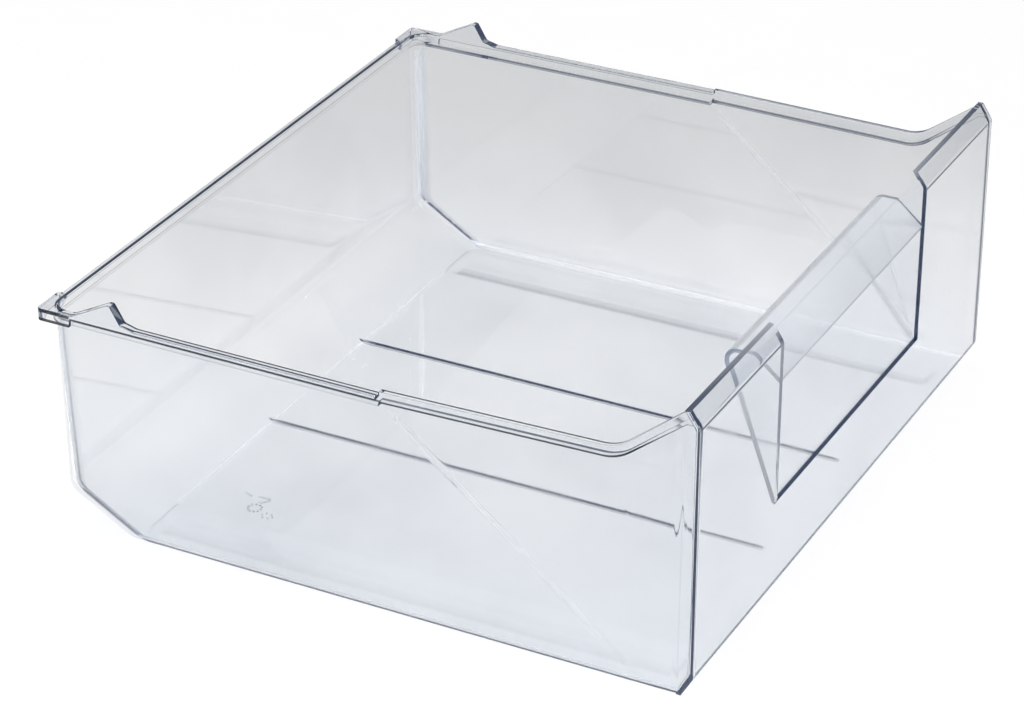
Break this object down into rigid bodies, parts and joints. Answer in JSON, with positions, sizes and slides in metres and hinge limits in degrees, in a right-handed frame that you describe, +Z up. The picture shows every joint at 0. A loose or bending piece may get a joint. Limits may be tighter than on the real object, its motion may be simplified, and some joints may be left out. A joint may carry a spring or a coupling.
{
  "type": "freezer drawer",
  "caption": "Clear moulded freezer drawer with a recessed pull handle in its front panel, stop fins at the rear and a sloped rear foot.",
  "frame": {"origin": "under the middle of the overall box, on the plane that the drawer rests on", "axes": "+X across the drawer, -Y out of the front panel with its handle, +Z up"},
  "size_m": [0.4224, 0.384, 0.1693],
  "materials": {
    "clear_plastic": "glossy, clear"
  },
  "bodies": {
    "root": {"drawer": "clear_plastic"}
  },
  "joints": []
}
